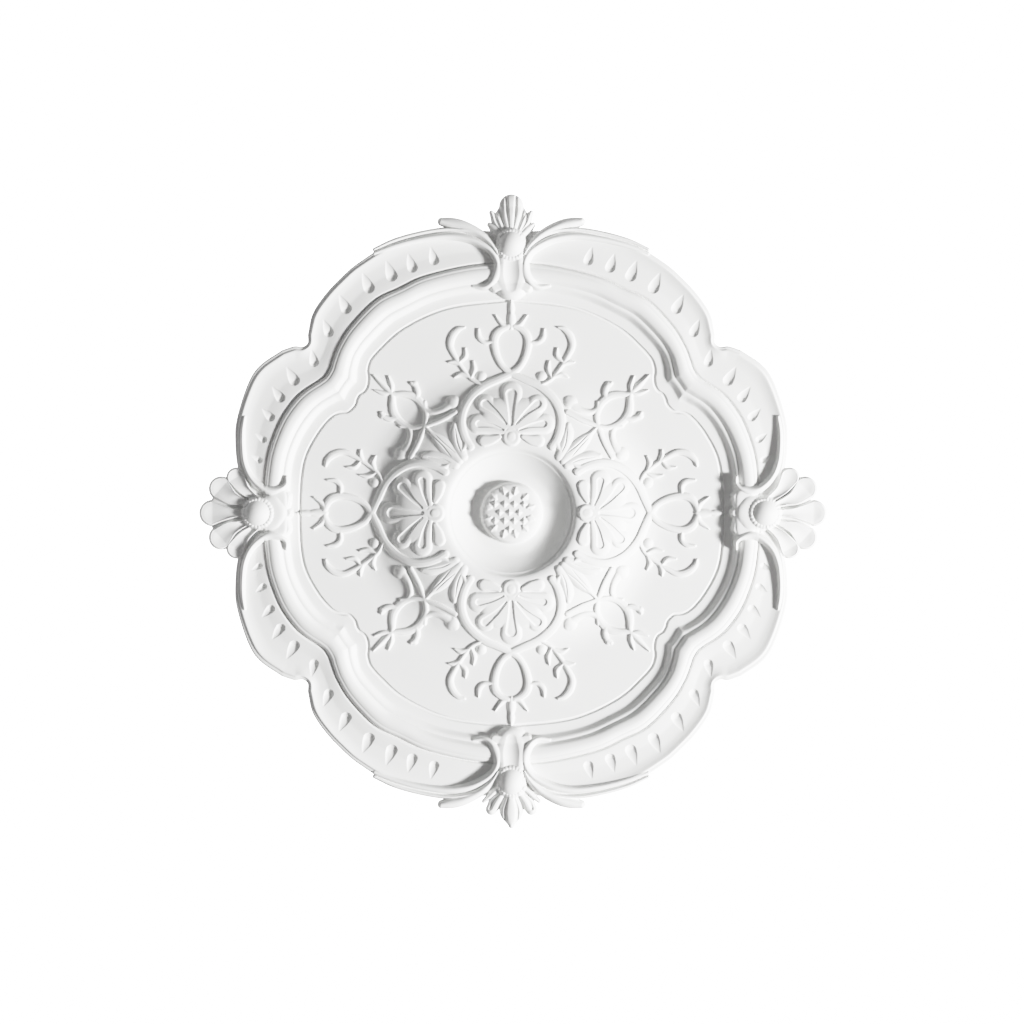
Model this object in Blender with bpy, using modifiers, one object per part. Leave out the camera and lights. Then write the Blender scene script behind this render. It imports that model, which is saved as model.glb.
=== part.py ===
"""A ceiling rose, cast in one piece, modelled face down as it hangs.

Metres, +Z up. The flat back lies in the plane z = 0, where the rose meets the
ceiling, and the relief hangs below it. In the drawing of the front, seen from
below, +X points right and +Y points down, so -Y is the end with the fan finial.
Lengths are named in millimetres, and a height is a distance below the back.
"""

import math

import bmesh
import bpy
import numpy as np

MM = 0.001

# The back is cut flat, so pieces that reach the outline start above it.
OVERRUN = 4.0
# A piece that lies on the plate starts this high, inside the plate.
ROOT_HEIGHT = 7.0
CUT_WIDTH = 1200.0
CUT_DEPTH = 40.0

# Turned centre: radius and height down its face, from the knob to the dome's foot.
KNOB_PROFILE = [(0.0, 43.0), (16.0, 42.0), (30.0, 39.0), (41.0, 33.5)]
DISH_PROFILE = [(45.0, 25.0), (58.0, 25.2), (72.0, 28.5), (86.0, 36.5)]
BEAD_PROFILE = [(92.0, 43.5), (98.0, 47.6), (106.0, 48.5)]
DOME_PROFILE = [(125.0, 45.5), (150.0, 40.5), (170.0, 33.5), (188.0, 25.0), (204.0, 18.5)]
DOME_FOOT_RADIUS = 225.0
DOME_FOOT_HEIGHT = 14.8
TURNING_STEPS = 28

# Diamond bosses on the knob.
DIAMOND_SPACING = 14.5
DIAMOND_RADIUS = 8.2
DIAMOND_TIP = 0.8
DIAMOND_HEIGHT = 5.0
DIAMOND_REACH = 32.0
# The rows stand a little off the axis, as they do in the photograph.
DIAMOND_SHIFT = (-2.6, -0.9)

# Frame outlines in one quarter, from the side's axis round to the end's axis:
# the side lobe, the corner and the end lobe. x runs along the side's axis.
FIELD_LINE = (
    [(318, 0), (316, 50), (309, 86), (291, 120), (272, 143), (257, 152)],
    [(257, 152), (246, 152), (235, 162), (230, 176), (219, 185), (215, 199), (216, 213)],
    [(216, 213), (212, 229), (196, 248), (166, 275), (121, 299), (76, 312), (0, 320)],
)
GROOVE_LINE = (
    [(370, 0), (369, 35), (363, 80), (355, 110), (342, 143), (324, 170), (309, 185), (290, 198)],
    [(290, 198), (281, 205), (276, 212), (272, 220), (270, 227)],
    [(270, 227), (260, 252), (241, 282), (204, 320), (166, 339), (129, 356), (61, 372), (0, 376)],
)
OUTER_LINE = (
    [(388, 0), (398, 32), (411, 68), (415, 105), (413, 140), (397, 192), (379, 221), (345, 245)],
    [(345, 245), (326, 251), (314, 250), (306, 256), (306, 268)],
    [(306, 268), (299, 299), (281, 327), (257, 353), (229, 377), (174, 409), (99, 426), (0, 422)],
)
RUN_STEPS = (8, 4, 10)

# Frame section: share of the way from one outline to the next, and height.
FIELD_HEIGHT = 14.0
COVE_AND_TORUS = [(0.0, 14.0), (0.27, 15.2), (0.60, 28.0), (0.77, 30.5), (0.94, 27.5)]
CHANNEL_AND_RIM = [(0.0, 21.0), (0.18, 22.5), (0.45, 20.0), (0.70, 20.5), (0.88, 23.0)]
RIM_EDGE = [(1.0, 19.0), (1.0, -OVERRUN)]

# Strap rings and fans on the dome, one on each axis. No two petals of a fan are quite alike.
STRAP_CENTRE = 147.0
STRAP_RADIUS = 66.0
STRAP_WIDTH = 9.0
STRAP_RISE = 4.0
STRAP_GAP_DEG = 52.0
STRAP_STEPS = 12
FAN_ROOT = 112.0
FAN_ANGLES_DEG = (-91.0, -37.0, 0.7, 38.6, 92.0)
FAN_LENGTHS = (44.0, 60.0, 74.0, 61.0, 45.0)
FAN_WIDTH = 19.0
FAN_RISE = 4.5

# Shells on the left and right, each with a boss at its root.
SHELL_ROOT = 384.0
SHELL_ANGLES_DEG = (-59.0, -33.4, 0.6, 34.2, 60.5)
SHELL_LENGTHS = (66.0, 84.0, 88.7, 85.0, 67.0)
SHELL_WIDTH = 35.0
SHELL_HEIGHT = 30.0
SHELL_FLUTE = 5.0

# Finials at the ends: a fan at -Y and a three-lobed leaf at +Y.
FINIAL_ROOT = 412.0
FINIAL_ANGLES_DEG = (-53.0, -25.4, 0.8, 26.7, 54.6)
FAN_FINIAL_LENGTHS = (42.0, 57.0, 65.5, 56.0, 43.0)
FAN_FINIAL_WIDTH = 22.0
LEAF_FINIAL_LENGTHS = (42.0, 47.0, 65.5, 48.0, 41.0)
LEAF_FINIAL_WIDTH = 25.0
FINIAL_HEIGHT = 28.0

# A petal from root to tip: share of its length, of its width and of its height.
PETAL_SHARES = (0.18, 0.45, 0.78, 0.93, 1.0)
PETAL_SWELLING = (0.36, 0.66, 1.0, 0.74, 0.30)
PETAL_RISE = (0.85, 0.95, 1.0, 0.92, 0.78)

# Round bosses in collars.
BOSS_RADIUS = 20.0
BOSS_RISE = 9.0
COLLAR_RADIUS = 24.0
COLLAR_TAPER = 3.0
COLLAR_HEIGHT = 38.0
SIDE_BOSS = 379.0
END_BOSS = 402.0

# Shoulder of a bar: its share of the half width, and its drop below the crown.
SHOULDER_SHARE = 0.85
FLUTED_SHOULDER_SHARE = 0.92
FLUTE_LIP_SHARE = 0.6
SHOULDER_DROP = 4.0

# Consoles, scrolls and leaf tips: a route in the front drawing, with the half width
# and the height at each of its points.
SIDE_CONSOLE = [(322, 0), (336, 0), (356, 0), (378, 0)]
SIDE_CONSOLE_WIDTHS = (44, 40, 30, 22)
SIDE_CONSOLE_HEIGHTS = (28, 33, 36, 36)
END_CONSOLE = [(0, 334), (0, 350), (0, 372), (0, 402)]
END_CONSOLE_WIDTHS = (40, 30, 24, 24)
END_CONSOLE_HEIGHTS = (28, 33, 36, 36)
CONSOLE_FLUTE = 2.5
SIDE_SCROLL = [(330, 46), (343, 31), (360, 29), (381, 38), (399, 60), (404, 96), (402, 138)]
SIDE_SCROLL_WIDTHS = (3, 7, 9, 11, 12, 11, 8)
SIDE_SCROLL_HEIGHTS = (26, 31, 34, 34, 32, 29, 25)
END_SCROLL = [(54, 343), (37, 348), (27, 362), (27, 381), (40, 399), (66, 411), (120, 414), (206, 394)]
END_SCROLL_WIDTHS = (3, 6, 9, 11, 11, 10, 9, 5)
END_SCROLL_HEIGHTS = (26, 30, 34, 35, 33, 31, 28, 25)
END_LEAF = [(24, 400), (44, 418), (74, 434), (108, 443)]
END_LEAF_WIDTHS = (5, 8, 9, 5)
END_LEAF_HEIGHTS = (29, 30, 28, 25)

PLASTER_WHITE = (0.84, 0.84, 0.83, 1.0)

parts = bpy.data.collections.new("ceiling_rose")
joined = bpy.data.collections.new("ceiling_rose_joined")
cutters = bpy.data.collections.new("ceiling_rose_cutters")


def clear_scene():
    for old in list(bpy.data.objects):
        bpy.data.objects.remove(old, do_unlink=True)
    for collection in (parts, joined, cutters):
        bpy.context.scene.collection.children.link(collection)


def plaster():
    """Matt white finish of the primed casting."""
    material = bpy.data.materials.new("primed_white")
    material.use_nodes = True
    shader = material.node_tree.nodes["Principled BSDF"]
    shader.inputs["Base Color"].default_value = PLASTER_WHITE
    shader.inputs["Roughness"].default_value = 0.62
    shader.inputs["Metallic"].default_value = 0.0
    return material


def mesh_object(name, shape, collection):
    """An object in metres from a bmesh in millimetres."""
    bmesh.ops.recalc_face_normals(shape, faces=shape.faces)
    bmesh.ops.scale(shape, vec=(MM, MM, MM), verts=shape.verts)
    mesh = bpy.data.meshes.new(name)
    shape.to_mesh(mesh)
    shape.free()
    result = bpy.data.objects.new(name, mesh)
    collection.objects.link(result)
    return result


def combine(target, operation, pieces):
    """Join a collection of pieces to the target, or cut them away."""
    for piece in pieces.objects:
        piece.hide_render = True
        piece.display_type = "WIRE"
    boolean = target.modifiers.new(pieces.name, "BOOLEAN")
    boolean.operation = operation
    boolean.solver = "EXACT"
    boolean.operand_type = "COLLECTION"
    boolean.collection = pieces


def smooth_run(points, steps):
    """Points at even distances along a smooth curve through the given ones."""
    ends = [points[0]] + list(points) + [points[-1]]
    dense = []
    for before, start, end, after in zip(ends, ends[1:], ends[2:], ends[3:]):
        p0, p1, p2, p3 = (np.array(p, dtype=float) for p in (before, start, end, after))
        for t in np.linspace(0.0, 1.0, 16, endpoint=False):
            bend = 2 * p1 + (p2 - p0) * t + (2 * p0 - 5 * p1 + 4 * p2 - p3) * t**2
            dense.append(0.5 * (bend + (3 * p1 - p0 - 3 * p2 + p3) * t**3))
    dense.append(np.array(points[-1], dtype=float))
    dense = np.array(dense)
    length = np.concatenate([[0.0], np.cumsum(np.linalg.norm(np.diff(dense, axis=0), axis=1))])
    wanted = np.linspace(0.0, length[-1], steps + 1)
    return np.column_stack([np.interp(wanted, length, dense[:, axis]) for axis in (0, 1)])


def all_round(outline):
    """The closed outline that one quarter gives when mirrored about both axes."""
    runs = [smooth_run(points, steps) for points, steps in zip(outline, RUN_STEPS)]
    quarter = np.vstack([runs[0], runs[1][1:], runs[2][1:]])
    back = quarter[::-1]
    half = np.vstack([quarter, back[1:] * (-1, 1)])
    return np.vstack([half, half[::-1][1:-1] * (1, -1)])


def loft(name, rings, collection):
    """A closed solid through rings of equally many points, with both ends capped."""
    shape = bmesh.new()
    rows = [[shape.verts.new(point) for point in ring] for ring in rings]
    count = len(rows[0])
    for row, following in zip(rows, rows[1:]):
        for index in range(count):
            beside = (index + 1) % count
            shape.faces.new((row[index], row[beside], following[beside], following[index]))
    shape.faces.new(rows[0])
    shape.faces.new(rows[-1])
    return mesh_object(name, shape, collection)


def at_height(outline, height):
    """The outline's points at a height below the back."""
    return [(x, y, -height) for x, y in outline]


def build_plate():
    """Flat field, cove, torus, channel and rim, lofted between the frame's outlines."""
    field = all_round(FIELD_LINE)
    groove = all_round(GROOVE_LINE)
    outer = all_round(OUTER_LINE)
    foot = field / np.linalg.norm(field, axis=1)[:, None] * DOME_FOOT_RADIUS
    rings = [at_height(foot, FIELD_HEIGHT)]
    for share, height in COVE_AND_TORUS:
        rings.append(at_height(field + (groove - field) * share, height))
    for share, height in CHANNEL_AND_RIM + RIM_EDGE:
        rings.append(at_height(groove + (outer - groove) * share, height))
    return loft("ceiling_rose", rings, parts)


def build_turned_centre():
    """Knob, dish, ring bead and dome, turned about the rose's axis."""
    face = KNOB_PROFILE + DISH_PROFILE + BEAD_PROFILE + DOME_PROFILE
    face.append((DOME_FOOT_RADIUS, DOME_FOOT_HEIGHT))
    profile = [(0.0, ROOT_HEIGHT), (DOME_FOOT_RADIUS, ROOT_HEIGHT)] + face[::-1]
    mesh = bpy.data.meshes.new("turned_centre")
    corners = [(radius * MM, 0.0, -height * MM) for radius, height in profile]
    mesh.from_pydata(corners, [(i, i + 1) for i in range(len(corners) - 1)], [])
    centre = bpy.data.objects.new("turned_centre", mesh)
    joined.objects.link(centre)
    screw = centre.modifiers.new("turning", "SCREW")
    screw.axis = "Z"
    screw.steps = TURNING_STEPS
    screw.render_steps = TURNING_STEPS
    screw.use_merge_vertices = True
    screw.merge_threshold = 0.0001
    screw.use_smooth_shade = True


def knob_height(radius):
    """Height of the knob's face at a distance from its axis."""
    radii = [point[0] for point in KNOB_PROFILE]
    heights = [point[1] for point in KNOB_PROFILE]
    return float(np.interp(radius, radii, heights))


def build_diamonds():
    """Four-sided points in offset rows on the knob."""
    row_step = DIAMOND_SPACING * math.sin(math.radians(60))
    for row in range(-2, 3):
        for column in range(-2, 3):
            x = (column + 0.5 * (row % 2)) * DIAMOND_SPACING + DIAMOND_SHIFT[0]
            y = row * row_step + DIAMOND_SHIFT[1]
            distance = math.hypot(x, y)
            if distance > DIAMOND_REACH:
                continue
            shape = bmesh.new()
            bmesh.ops.create_cone(
                shape, cap_ends=True, segments=4,
                radius1=DIAMOND_TIP, radius2=DIAMOND_RADIUS, depth=2 * DIAMOND_HEIGHT)
            centre = (x, y, -knob_height(distance))
            bmesh.ops.translate(shape, vec=centre, verts=shape.verts)
            mesh_object(f"diamond_{row}_{column}", shape, joined)


def blade(name, route, widths, heights, flute=0.0, root=-OVERRUN):
    """A tapered bar along a route, with a crowned top, or a hollow one if fluted."""
    route = np.array(route, dtype=float)
    along = np.gradient(route, axis=0)
    along /= np.linalg.norm(along, axis=1)[:, None]
    across = np.column_stack([-along[:, 1], along[:, 0]])
    rings = []
    for point, side, width, height in zip(route, across, widths, heights):
        shoulder = height - SHOULDER_DROP
        if flute > 0:
            half = [(FLUTE_LIP_SHARE, height), (FLUTED_SHOULDER_SHARE, shoulder), (1.0, root)]
        else:
            half = [(SHOULDER_SHARE, shoulder), (1.0, root)]
        mirror = [(-share, level) for share, level in reversed(half)]
        section = mirror + [(0.0, height - flute)] + half
        ring = []
        for share, level in section:
            x, y = point + side * share * width
            ring.append((x, y, -level))
        rings.append(ring)
    return loft(name, rings, joined)


def petal_routes(axis_deg, root_distance, angles, lengths):
    """The middle lines of petals fanned about an axis of the rose."""
    axis = math.radians(axis_deg)
    root_at = root_distance * np.array([math.cos(axis), math.sin(axis)])
    routes = []
    for angle, length in zip(angles, lengths):
        turned = math.radians(axis_deg + angle)
        direction = np.array([math.cos(turned), math.sin(turned)])
        routes.append([root_at + direction * length * share for share in PETAL_SHARES])
    return routes


def build_fan(name, axis_deg, root_distance, angles, lengths, width, height, flute=0.0):
    """Drop-shaped petals that widen from their roots to round tips."""
    routes = petal_routes(axis_deg, root_distance, angles, lengths)
    widths = [width / 2 * share for share in PETAL_SWELLING]
    heights = [height * share for share in PETAL_RISE]
    for index, route in enumerate(routes):
        blade(f"{name}_{index}", route, widths, heights, flute)


def build_strap(name, axis_deg):
    """An open ring round a fan on the dome, with its gap towards the dish."""
    axis = math.radians(axis_deg)
    centre = np.array([math.cos(axis), math.sin(axis)]) * STRAP_CENTRE
    first = axis_deg - 180.0 + STRAP_GAP_DEG
    last = axis_deg + 180.0 - STRAP_GAP_DEG
    angles = np.radians(np.linspace(first, last, STRAP_STEPS))
    route = [centre + STRAP_RADIUS * np.array([math.cos(a), math.sin(a)]) for a in angles]
    heights = [dome_height(np.linalg.norm(point)) + STRAP_RISE for point in route]
    widths = [STRAP_WIDTH / 2] * STRAP_STEPS
    blade(name, route, widths, heights, root=ROOT_HEIGHT)


def dome_height(radius):
    """Height of the dome or the field at a distance from the rose's axis."""
    face = BEAD_PROFILE + DOME_PROFILE + [(DOME_FOOT_RADIUS, FIELD_HEIGHT)]
    return float(np.interp(radius, [p[0] for p in face], [p[1] for p in face]))


def build_boss(name, x, y):
    """A low round boss in a collar."""
    shape = bmesh.new()
    depth = COLLAR_HEIGHT + OVERRUN
    bmesh.ops.create_cone(
        shape, cap_ends=True, segments=14, radius1=COLLAR_RADIUS - COLLAR_TAPER,
        radius2=COLLAR_RADIUS, depth=depth)
    bmesh.ops.translate(shape, vec=(x, y, OVERRUN - depth / 2), verts=shape.verts)
    mesh_object(f"{name}_collar", shape, joined)
    shape = bmesh.new()
    bmesh.ops.create_uvsphere(shape, u_segments=12, v_segments=6, radius=BOSS_RADIUS)
    bmesh.ops.scale(shape, vec=(1.0, 1.0, BOSS_RISE / BOSS_RADIUS), verts=shape.verts)
    bmesh.ops.translate(shape, vec=(x, y, -COLLAR_HEIGHT), verts=shape.verts)
    mesh_object(f"{name}_boss", shape, joined)


def flipped(route, flip_x, flip_y):
    return [(x * flip_x, y * flip_y) for x, y in route]


def build_fans():
    """The strap ring and fan on each axis of the dome."""
    for axis_deg in (0.0, 90.0, 180.0, 270.0):
        build_strap(f"strap_{axis_deg:.0f}", axis_deg)
        widths = [FAN_WIDTH / 2 * share for share in PETAL_SWELLING]
        routes = petal_routes(axis_deg, FAN_ROOT, FAN_ANGLES_DEG, FAN_LENGTHS)
        for index, route in enumerate(routes):
            heights = [dome_height(np.linalg.norm(point)) + FAN_RISE for point in route]
            blade(f"fan_{axis_deg:.0f}_{index}", route, widths, heights, root=ROOT_HEIGHT)


def build_shells():
    """The fluted shells that stand out to the left and right."""
    for side, axis_deg in (("right", 0.0), ("left", 180.0)):
        build_fan(
            f"shell_{side}", axis_deg, SHELL_ROOT, SHELL_ANGLES_DEG, SHELL_LENGTHS,
            SHELL_WIDTH, SHELL_HEIGHT, SHELL_FLUTE)


def build_finials():
    """The fan at the top and the leaf at the bottom."""
    build_fan(
        "fan_finial", 270.0, FINIAL_ROOT, FINIAL_ANGLES_DEG, FAN_FINIAL_LENGTHS,
        FAN_FINIAL_WIDTH, FINIAL_HEIGHT)
    build_fan(
        "leaf_finial", 90.0, FINIAL_ROOT, FINIAL_ANGLES_DEG, LEAF_FINIAL_LENGTHS,
        LEAF_FINIAL_WIDTH, FINIAL_HEIGHT)


def build_consoles():
    """On each axis, a fluted console over the frame and a boss at its outer end."""
    for flip in (1, -1):
        blade(
            f"side_console_{flip}", flipped(SIDE_CONSOLE, flip, 1),
            SIDE_CONSOLE_WIDTHS, SIDE_CONSOLE_HEIGHTS, CONSOLE_FLUTE, ROOT_HEIGHT)
        blade(
            f"end_console_{flip}", flipped(END_CONSOLE, 1, flip),
            END_CONSOLE_WIDTHS, END_CONSOLE_HEIGHTS, CONSOLE_FLUTE, ROOT_HEIGHT)
        build_boss(f"side_{flip}", flip * SIDE_BOSS, 0.0)
        build_boss(f"end_{flip}", 0.0, flip * END_BOSS)


def build_scrolls():
    """Scrolls that curl round the channel's ends, and the leaf tips at top and bottom."""
    for flip_x in (1, -1):
        for flip_y in (1, -1):
            tag = f"{flip_x}_{flip_y}"
            blade(
                f"side_scroll_{tag}", flipped(SIDE_SCROLL, flip_x, flip_y),
                SIDE_SCROLL_WIDTHS, SIDE_SCROLL_HEIGHTS, root=ROOT_HEIGHT)
            blade(
                f"end_scroll_{tag}", flipped(END_SCROLL, flip_x, flip_y),
                END_SCROLL_WIDTHS, END_SCROLL_HEIGHTS, root=ROOT_HEIGHT)
            blade(
                f"end_leaf_{tag}", flipped(END_LEAF, flip_x, flip_y),
                END_LEAF_WIDTHS, END_LEAF_HEIGHTS)


def build_ceiling_cut():
    """The space above the ceiling's plane, which trims the back flat."""
    shape = bmesh.new()
    bmesh.ops.create_cube(shape, size=1.0)
    bmesh.ops.scale(shape, vec=(CUT_WIDTH, CUT_WIDTH, CUT_DEPTH), verts=shape.verts)
    bmesh.ops.translate(shape, vec=(0.0, 0.0, CUT_DEPTH / 2), verts=shape.verts)
    mesh_object("ceiling_cut", shape, cutters)


def main():
    clear_scene()
    rose = build_plate()
    rose.data.materials.append(plaster())
    build_turned_centre()
    build_diamonds()
    build_fans()
    build_shells()
    build_finials()
    build_consoles()
    build_scrolls()
    combine(rose, "UNION", joined)
    build_ceiling_cut()
    combine(rose, "DIFFERENCE", cutters)


main()
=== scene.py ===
"""Looks of the ceiling rose: its relief, its primed white finish and the studio round it.

The relief is sculpted as heights on a fine square grid over the face, in millimetres
below the flat back, and then meshed with small cells where it is carved and large
ones where it is smooth. The face hangs down, +X points right and +Y down in the
photograph. Places are pixels of the photograph, widths and heights are millimetres.
"""
import math

import bpy
import numpy as np
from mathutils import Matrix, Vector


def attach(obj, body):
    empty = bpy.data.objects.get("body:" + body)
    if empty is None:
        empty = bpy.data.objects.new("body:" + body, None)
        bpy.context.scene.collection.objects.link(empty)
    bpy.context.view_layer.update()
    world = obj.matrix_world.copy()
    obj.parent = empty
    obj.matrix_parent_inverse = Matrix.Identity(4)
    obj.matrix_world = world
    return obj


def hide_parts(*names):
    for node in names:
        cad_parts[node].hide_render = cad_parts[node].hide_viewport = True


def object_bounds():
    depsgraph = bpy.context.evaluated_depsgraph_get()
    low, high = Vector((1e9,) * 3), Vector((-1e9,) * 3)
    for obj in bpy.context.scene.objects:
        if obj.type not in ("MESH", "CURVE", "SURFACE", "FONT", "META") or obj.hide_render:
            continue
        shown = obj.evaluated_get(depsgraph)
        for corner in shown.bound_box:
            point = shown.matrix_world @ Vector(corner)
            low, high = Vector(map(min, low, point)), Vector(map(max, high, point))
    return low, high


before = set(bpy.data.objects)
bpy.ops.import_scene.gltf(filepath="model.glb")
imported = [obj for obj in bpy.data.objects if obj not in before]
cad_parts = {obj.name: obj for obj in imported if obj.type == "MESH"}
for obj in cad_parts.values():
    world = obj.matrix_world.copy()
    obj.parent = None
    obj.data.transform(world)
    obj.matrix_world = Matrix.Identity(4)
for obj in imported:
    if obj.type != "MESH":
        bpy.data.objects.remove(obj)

CAD_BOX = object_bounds()
NODE = "ceiling_rose"
MM = 0.001

# The photograph: the middle of the rose's box and the rose's centre, in pixels.
PHOTO_SIZE = 1024
BOX_MIDDLE = (512.85, 511.7)
ROSE_WIDTH_PX = 630.3
ROSE_CENTRE = (511.3, 513.0)
MM_PER_PX = (CAD_BOX[1][0] - CAD_BOX[0][0]) / MM / ROSE_WIDTH_PX

# The sculpting grid.
CELL = 0.75
COLUMNS = 1264
ROWS = 1280
TILE_COLUMNS = (0, 424, 840, 1264)
TILE_ROWS = (0, 424, 856, 1280)
LARGEST_POWER = 3
FIT_TOLERANCE = 0.05

grid_x = (np.arange(COLUMNS + 1) - COLUMNS / 2) * CELL
grid_y = (np.arange(ROWS + 1) - ROWS / 2) * CELL
height = np.zeros((ROWS + 1, COLUMNS + 1), dtype=np.float32)
ground = np.zeros_like(height)
solid = np.full_like(height, -50.0)


def place(points):
    """Millimetres from pixels of the photograph."""
    return (np.asarray(points, dtype=float) - BOX_MIDDLE) * MM_PER_PX


CENTRE = place(ROSE_CENTRE)


def smooth(points, step=1.2):
    """Points about a step apart along a smooth curve through the given ones."""
    points = np.asarray(points, dtype=float)
    if len(points) == 2:
        ends = np.vstack([points[0], points, points[1]])
    else:
        ends = np.vstack([2 * points[0] - points[1], points, 2 * points[-1] - points[-2]])
    dense = []
    for p0, p1, p2, p3 in zip(ends, ends[1:], ends[2:], ends[3:]):
        t = np.linspace(0.0, 1.0, 12, endpoint=False)[:, None]
        bend = 2 * p1 + (p2 - p0) * t + (2 * p0 - 5 * p1 + 4 * p2 - p3) * t**2
        dense.append(0.5 * (bend + (3 * p1 - p0 - 3 * p2 + p3) * t**3))
    dense = np.vstack(dense + [points[-1:]])
    length = np.concatenate([[0.0], np.cumsum(np.hypot(*np.diff(dense[:, :2], axis=0).T))])
    count = max(2, int(length[-1] / step) + 1)
    wanted = np.linspace(0.0, length[-1], count)
    return np.column_stack([np.interp(wanted, length, column) for column in dense.T])


def window(low_x, high_x, low_y, high_y):
    """Slices of the grid that cover a box."""
    first_column = max(0, int(math.floor((low_x - grid_x[0]) / CELL)))
    last_column = min(COLUMNS, int(math.ceil((high_x - grid_x[0]) / CELL)))
    first_row = max(0, int(math.floor((low_y - grid_y[0]) / CELL)))
    last_row = min(ROWS, int(math.ceil((high_y - grid_y[0]) / CELL)))
    return slice(first_row, last_row + 1), slice(first_column, last_column + 1)


def nearest(route, reach):
    """For the grid near a route: window, distance, side and the route's other columns there.

    The route is points in mm, with columns x, y and any values to carry along."""
    wide = float(np.max(reach))
    rows, columns = window(
        route[:, 0].min() - wide, route[:, 0].max() + wide,
        route[:, 1].min() - wide, route[:, 1].max() + wide)
    shape = (rows.stop - rows.start, columns.stop - columns.start)
    best = np.full(shape, 1e9)
    carried = np.zeros(shape + (route.shape[1] - 2,))
    side = np.ones(shape)
    for start, end in zip(route, route[1:]):
        inner_rows, inner_columns = window(
            min(start[0], end[0]) - wide, max(start[0], end[0]) + wide,
            min(start[1], end[1]) - wide, max(start[1], end[1]) + wide)
        if inner_rows.stop <= inner_rows.start or inner_columns.stop <= inner_columns.start:
            continue
        x = grid_x[inner_columns][None, :] - start[0]
        y = grid_y[inner_rows][:, None] - start[1]
        step = end[:2] - start[:2]
        size = float(step @ step) + 1e-12
        share = np.clip((x * step[0] + y * step[1]) / size, 0.0, 1.0)
        distance = np.hypot(x - share * step[0], y - share * step[1])
        local = (
            slice(inner_rows.start - rows.start, inner_rows.stop - rows.start),
            slice(inner_columns.start - columns.start, inner_columns.stop - columns.start))
        closer = distance < best[local]
        best[local] = np.where(closer, distance, best[local])
        turn = np.where(x * step[1] - y * step[0] > 0, 1.0, -1.0)
        side[local] = np.where(closer, turn, side[local])
        values = start[2:] + share[..., None] * (end[2:] - start[2:])
        carried[local] = np.where(closer[..., None], values, carried[local])
    return (rows, columns), best, side, carried


def soft_max(a, b, blend):
    return np.maximum(a, b) + np.maximum(blend - np.abs(a - b), 0.0) ** 2 / (4 * blend)


def soft_min(a, b, blend):
    return -soft_max(-a, -b, blend)


PROFILES = {
    "round": lambda u: np.sqrt(np.maximum(1 - u**2, 0.0)),
    "soft": lambda u: np.maximum(1 - u**2, 0.0),
    "dome": lambda u: np.maximum(1 - u**2, 0.0) ** 0.75,
    "ridge": lambda u: np.maximum(1 - u, 0.0),
    "flat": lambda u: np.maximum(1 - u**6, 0.0),
    "strap": lambda u: 0.72 * np.maximum(1 - u**8, 0.0) + 0.28 * np.maximum(1 - u, 0.0),
}


def spread(values, count):
    """One value for every control point, from a single value or a shorter list."""
    values = np.atleast_1d(np.asarray(values, dtype=float))
    return np.interp(np.linspace(0, 1, count), np.linspace(0, 1, len(values)), values)


def drawn(points, widths, heights):
    """A route in mm with half widths and heights, from control points in mm."""
    points = np.asarray(points, dtype=float)
    return smooth(np.column_stack([
        points, spread(widths, len(points)) / 2, spread(heights, len(points))]))


def raise_piece(points, widths, heights, profile="dome", wall=4.0, blend=0.6):
    """A raised piece with its crown at heights below the back; it may pass the outline."""
    route = drawn(points, widths, heights)
    area, distance, side, carried = nearest(route, route[:, 2] + 4 * CELL)
    solid[area] = np.maximum(solid[area], carried[..., 0] - distance)
    raise_stroke(points, widths, heights, profile, wall, blend, absolute=True)


def raise_stroke(points, widths, rises, profile="round", wall=3.0, blend=0.6, absolute=False):
    """A raised strand over the ground, or with its crown at heights below the back."""
    route = drawn(points, widths, rises)
    area, distance, side, carried = nearest(route, route[:, 2] + blend)
    half = np.maximum(carried[..., 0], 1e-6)
    rise = carried[..., 1]
    base = ground[area]
    if absolute:
        rise = rise - base
    crown = rise * PROFILES[profile](np.minimum(distance / half, 1.0))
    crown = np.minimum(crown, wall * (half - distance))
    near = distance < half + blend
    raised = soft_max(height[area], base + crown, blend)
    height[area] = np.where(near, raised, height[area])


def carve_stroke(points, widths, depths, profile="soft"):
    """A groove cut into whatever is there."""
    route = drawn(points, widths, depths)
    area, distance, side, carried = nearest(route, route[:, 2])
    half = np.maximum(carried[..., 0], 1e-6)
    cut = carried[..., 1] * PROFILES[profile](np.minimum(distance / half, 1.0))
    height[area] = height[area] - cut


def mirrored(points, flip_x=False, flip_y=False, turned=False):
    """Points about the rose's centre, mirrored or turned from the end axis to the side."""
    points = np.asarray(points, dtype=float) - CENTRE
    if turned:
        points = points[:, ::-1]
    if flip_x:
        points = points * (-1, 1)
    if flip_y:
        points = points * (1, -1)
    return points + CENTRE


# Frame outlines in one quarter about the rose's centre, in mm: side lobe, corner, end lobe.
FIELD_LINE = (
    [(318, 0), (316, 50), (309, 86), (291, 120), (272, 143), (257, 152)],
    [(257, 152), (246, 152), (235, 162), (230, 176), (219, 185), (215, 199), (216, 213)],
    [(216, 213), (212, 229), (196, 248), (166, 275), (121, 299), (76, 312), (0, 320)],
)
GROOVE_LINE = (
    [(374, 0), (372, 35), (367, 80), (359, 110), (345, 143), (326, 170), (310, 185), (290, 198)],
    [(290, 198), (281, 205), (276, 212), (272, 220), (270, 227)],
    [(270, 227), (260, 252), (241, 282), (204, 320), (166, 339), (129, 356), (61, 372), (0, 376)],
)
OUTER_LINE = (
    [(388, 0), (398, 32), (411, 68), (415, 105), (413, 140), (397, 192), (379, 221), (345, 245)],
    [(345, 245), (326, 251), (314, 250), (306, 256), (306, 268)],
    [(306, 268), (299, 299), (281, 327), (257, 353), (229, 377), (174, 409), (99, 426), (0, 422)],
)

FIELD_HEIGHT = 14.0
DOME_REACH = 240.0
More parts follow.
